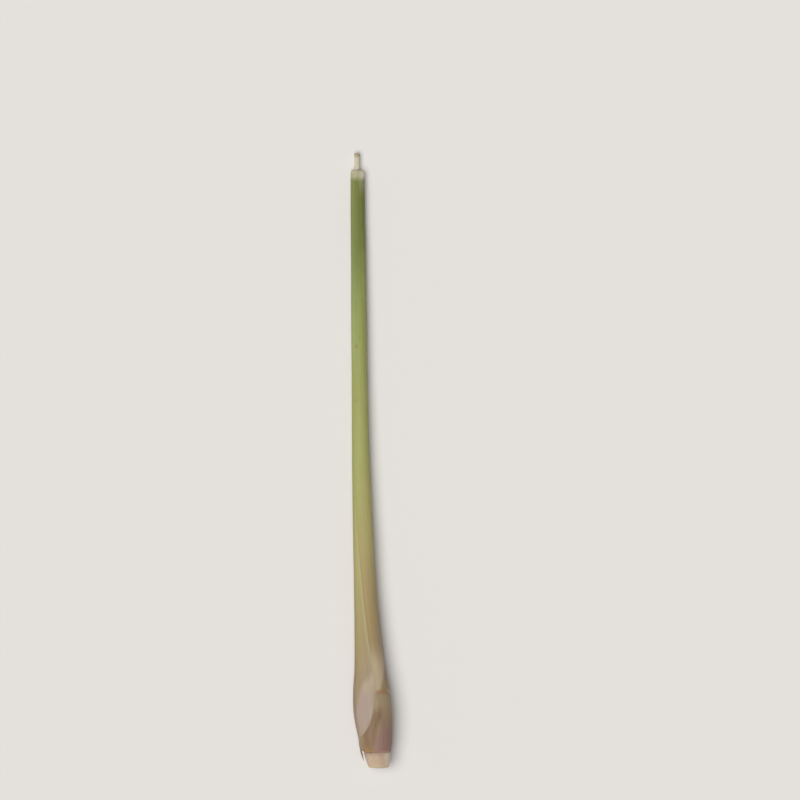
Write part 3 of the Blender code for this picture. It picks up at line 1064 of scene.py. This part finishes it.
def culm():
    """The culm's pale side and its cut face with the rings of the leaf bases."""
    angle = np.arange(0, 360, CULM_STEP)
    level = np.zeros(len(angle))
    face_radius = np.linspace(FACE_MIDDLE, FACE_RADIUS, FACE_ROWS)[:, None]
    share = face_radius / FACE_RADIUS
    wobbly = face_radius + FACE_WOBBLE * wander(RING_WOBBLE, angle / 360, 0) * share
    grooves = sum(peak(wobbly, ring, GROOVE_WIDTH) for ring in FACE_RINGS)
    grain = wander(FACE_GRAIN, angle / 360, face_radius * GRAIN_CELLS)
    face_along = FACE_RISE + GROOVE_DEPTH * grooves + GRAIN_DEPTH * grain + FACE_DOME * share**2
    side_along = np.array(CULM_ROWS)[:, None] + level
    fibres = wander(CULM_FIBRES, angle / 360, side_along * CULM_FIBRE_CELLS)
    side_radius = culm_radius(side_along) + CULM_FIBRE_HEIGHT * fibres
    radius = np.vstack([face_radius + level, side_radius])
    along = np.vstack([face_along, side_along])
    points = place(along, angle, radius, sideways=CULM_SIDEWAYS)
    fields = {
        "along": along,
        "rings": np.vstack([grooves, np.zeros(side_along.shape)]),
        "side": np.sin(np.radians(angle)) * radius / culm_radius(INNER_RIM),
        "vein": vein_field(angle, along * CULM_VEIN_CELLS),
    }
    faces = grid_faces(*along.shape, closed=True)
    add_piece("culm_stub", points, faces, fields, root_material(), ["culm_base"])


def heart_stub():
    """The heart: a leaf rolled on itself, with its edge as a fine step and a cut, flared tip."""
    angle = np.array(HEART_ANGLES)
    along = np.array(HEART_ROWS)[:, None] + np.zeros(len(angle))
    scroll = HEART_SCROLL * angle / 360
    flare = smooth_step(*HEART_FLARES, along)
    radius = HEART_RADIUS + (HEART_FLARE - HEART_RADIUS) * flare - scroll
    radius = radius + HEART_RIB_HEIGHT * wander(HEART_RIBS, angle / 360, along)
    turn = HEART_TURN + HEART_TWIST * (along - OUTER_TOP)
    inward = TIP_SHARES[:, None]
    rings = np.abs(np.sin(math.pi * (TIP_RINGS * inward - angle / 360)))
    slant = TIP_SLANT * (1 - inward) * np.cos(np.radians(angle))
    tip = STALK_LENGTH - TIP_BELOW + TIP_RING_HEIGHT * rings**TIP_RING_POWER - slant
    all_along = np.vstack([along, np.minimum(tip, STALK_LENGTH)])
    all_radius = np.vstack([radius, (HEART_FLARE - scroll) * (1 - inward)])
    all_angle = np.vstack([angle + turn, angle + turn[-1] + np.zeros(tip.shape)])
    points = place(all_along, all_angle, all_radius, sideways=heart_sideways(all_along))
    fields = {
        "along": all_along,
        "scroll": 1 - np.abs(angle / 180 - 1) + np.zeros(all_along.shape),
        "side": np.sin(np.radians(all_angle)),
        "vein": vein_field(angle, all_along),
    }
    faces = grid_faces(*all_along.shape, closed=True)
    add_piece("heart_roll", points, faces, fields, heart_material(), ["heart"])


def ragged(half, draw):
    """Half widths with random notches, as a column."""
    return (half * [1 + STRIP_RAG * draw.uniform(-1, 1) for _ in half])[:, None]


def ribbon(middle, across, outward, half, share, draw):
    """The points of a flat strip with ragged edges that thins out, and its reach at them."""
    left = ragged(half, draw) * across
    right = ragged(half, draw) * across
    thick = (STRIP_WALL * (1 - STRIP_THINNING * share))[:, None] * outward / 2
    points = np.stack([middle - left, middle + thick, middle + right, middle - thick], axis=1)
    return points, np.repeat(share[:, None], points.shape[1], axis=1)


def shred(angle, length, width, curl, lean, draw):
    """A tapering strip that hangs from the rim of the inner sheaths."""
    share = np.linspace(0, 1, SHRED_STEPS)
    along = INNER_RIM + SHRED_ROOT - (length + SHRED_ROOT) * share
    turn = angle + np.degrees(lean * share / SHRED_RADIUS)
    radius = culm_radius(INNER_RIM) + SHRED_LIFT + curl * share**2
    middle = place(along, turn, radius, sideways=CULM_SIDEWAYS)
    outward = place(along, turn, radius + 1, sideways=CULM_SIDEWAYS) - middle
    across = place(along, turn + 90, 1) - place(along, turn, 0)
    half = 0.5 * width * (1 - share) ** SHRED_TAPER + SHRED_TIP
    return ribbon(middle, across, outward, half, share, draw)


def sliver(draw):
    """The largest dried strip, which turns from the skin to face upwards."""
    share = np.linspace(0, 1, SLIVER_STEPS)
    spots = np.linspace(0, 1, len(SLIVER_LINE))
    along, sideways, height = (np.interp(share, spots, values) for values in zip(*SLIVER_LINE))
    middle = place(along, 0, 0, sideways=sideways)
    middle[:, 2] += height * MM
    roll = np.radians(np.interp(share, [0, 1], SLIVER_ROLL))[:, None]
    still = 0 * roll
    across = np.hstack([np.cos(roll), still, np.sin(roll)]) * MM
    outward = np.hstack([-np.sin(roll), still, np.cos(roll)]) * MM
    widened = SLIVER_ROOT_SHARE + (1 - SLIVER_ROOT_SHARE) * smooth_step(*SLIVER_WIDENS, share)
    half = 0.5 * SLIVER_WIDTH * (1 - share**2) * widened + SLIVER_TIP
    return ribbon(middle, across, outward, half, share, draw)


def fibre(start, angle, length, lean):
    """A hair-thin fibre that lies along the skin below the torn edge."""
    share = np.linspace(0, 1, FIBRE_STEPS)
    along = start - length * share
    out = half_width(along) - FIBRE_SINK + FIBRE_RISE * share
    thick = FIBRE_RADIUS * (1 - FIBRE_THINNING * share)
    sections = []
    for corner in range(FIBRE_SIDES):
        turn = 2 * math.pi * corner / FIBRE_SIDES
        across = angle + np.degrees((lean * share + thick * math.sin(turn)) / SKIN_RADIUS)
        sections.append(place(along, across, out + thick * math.cos(turn)))
    return np.stack(sections, axis=1), np.repeat(FIBRE_REACH * share[:, None], FIBRE_SIDES, axis=1)


def strips(name, sections, material):
    """Joins strips, each given as points and its reach at them, into one closed piece."""
    points, faces, reach = [], [], []
    start = 0
    for section, share in sections:
        rows, sides = share.shape
        points.append(section.reshape(-1, 3))
        reach.append(share.ravel())
        faces += grid_faces(rows, sides, closed=True, start=start).tolist()
        faces.append([start + k for k in range(sides)][::-1])
        faces.append([start + (rows - 1) * sides + k for k in range(sides)])
        start += rows * sides
    fields = {"reach": np.concatenate(reach)}
    add_piece(name, np.concatenate(points), faces, fields, material)


def dried_shreds(material):
    """The torn strips that hang at the root end, the largest at the left, as in the photograph."""
    draw = random.Random(SHRED_SEED)
    sections = [sliver(draw), shred(**HUGGING_SHRED, draw=draw)]
    for angle, length in SHREDS:
        width = draw.uniform(*SHRED_WIDTHS)
        curl = draw.uniform(*SHRED_CURLS)
        lean = draw.uniform(*SHRED_LEANS)
        sections.append(shred(angle, length, width, curl, lean, draw))
    strips("dried_shreds", sections, material)


def torn_fibres(material):
    """Short fine fibres that stand out of the torn edge of the outer sheath."""
    draw = random.Random(FIBRE_SEED)
    sections = []
    for _ in range(FIBRES):
        turned = draw.choice([draw.uniform(*turns) for turns in FIBRE_TURNS])
        edge = float(lower_edge(MARGIN_ANGLE[0][1] - turned))
        angle = float(margin_angle(edge)) - turned
        length = draw.uniform(*FIBRE_LENGTHS)
        sections.append(fibre(edge + FIBRE_ROOT, angle, length, draw.uniform(*FIBRE_LEANS)))
    strips("torn_fibres", sections, material)


def floor():
    """A plain pale floor under the stalk."""
    mesh = bpy.data.meshes.new("floor")
    size = FLOOR_REACH * MM
    corners = [(-size, -size, 0), (size, -size, 0), (size, size, 0), (-size, size, 0)]
    mesh.from_pydata(corners, [], [(0, 1, 2, 3)])
    looks = {"Base Color": "floor", "Roughness": FLOOR_ROUGHNESS, "Specular IOR Level": FLOOR_GLOSS}
    mesh.materials.append(Paint("plain_floor").surface(looks))
    plane = add_object("floor", mesh)
    plane.location.z = -FLOOR_GAP * MM


def sun(name, direction, strength, softness):
    """A soft light that shines from direction."""
    lamp = bpy.data.lights.new(name, "SUN")
    lamp.energy = strength
    lamp.angle = math.radians(softness)
    add_object(name, lamp).rotation_euler = Vector(direction).to_track_quat("Z", "Y").to_euler()


def light():
    """Even studio light and a soft key; only the camera sees the pale backdrop."""
    world = bpy.data.worlds.new("studio")
    world.use_nodes = True
    background = world.node_tree.nodes["Background"]
    background.inputs["Color"].default_value = (1, 1, 1, 1)
    path = world.node_tree.nodes.new("ShaderNodeLightPath")
    strength = world.node_tree.nodes.new("ShaderNodeMath")
    strength.operation = "MULTIPLY_ADD"
    strength.inputs[1].default_value = BACKDROP - FILL
    strength.inputs[2].default_value = FILL
    world.node_tree.links.new(path.outputs["Is Camera Ray"], strength.inputs[0])
    world.node_tree.links.new(strength.outputs[0], background.inputs["Strength"])
    bpy.context.scene.world = world
    sun("key", KEY_FROM, KEY, KEY_SOFTNESS)


def camera():
    """A long lens that looks straight down, framed as the photograph."""
    lens = bpy.data.cameras.new("camera")
    lens.sensor_width = SENSOR
    lens.lens = SENSOR * CAMERA_HEIGHT / VIEW_WIDTH
    lens.clip_start, lens.clip_end = (distance * MM for distance in CAMERA_SEES)
    eye = add_object("camera", lens)
    eye.location = Vector((*VIEW_CENTRE, CAMERA_HEIGHT + STALK_HEIGHT)) * MM
    bpy.context.scene.camera = eye
    bpy.context.scene.view_settings.view_transform = "Standard"


outer_leaf()
inner_roll()
culm()
heart_stub()
dried = dry_material()
dried_shreds(dried)
torn_fibres(dried)
floor()
light()
camera()
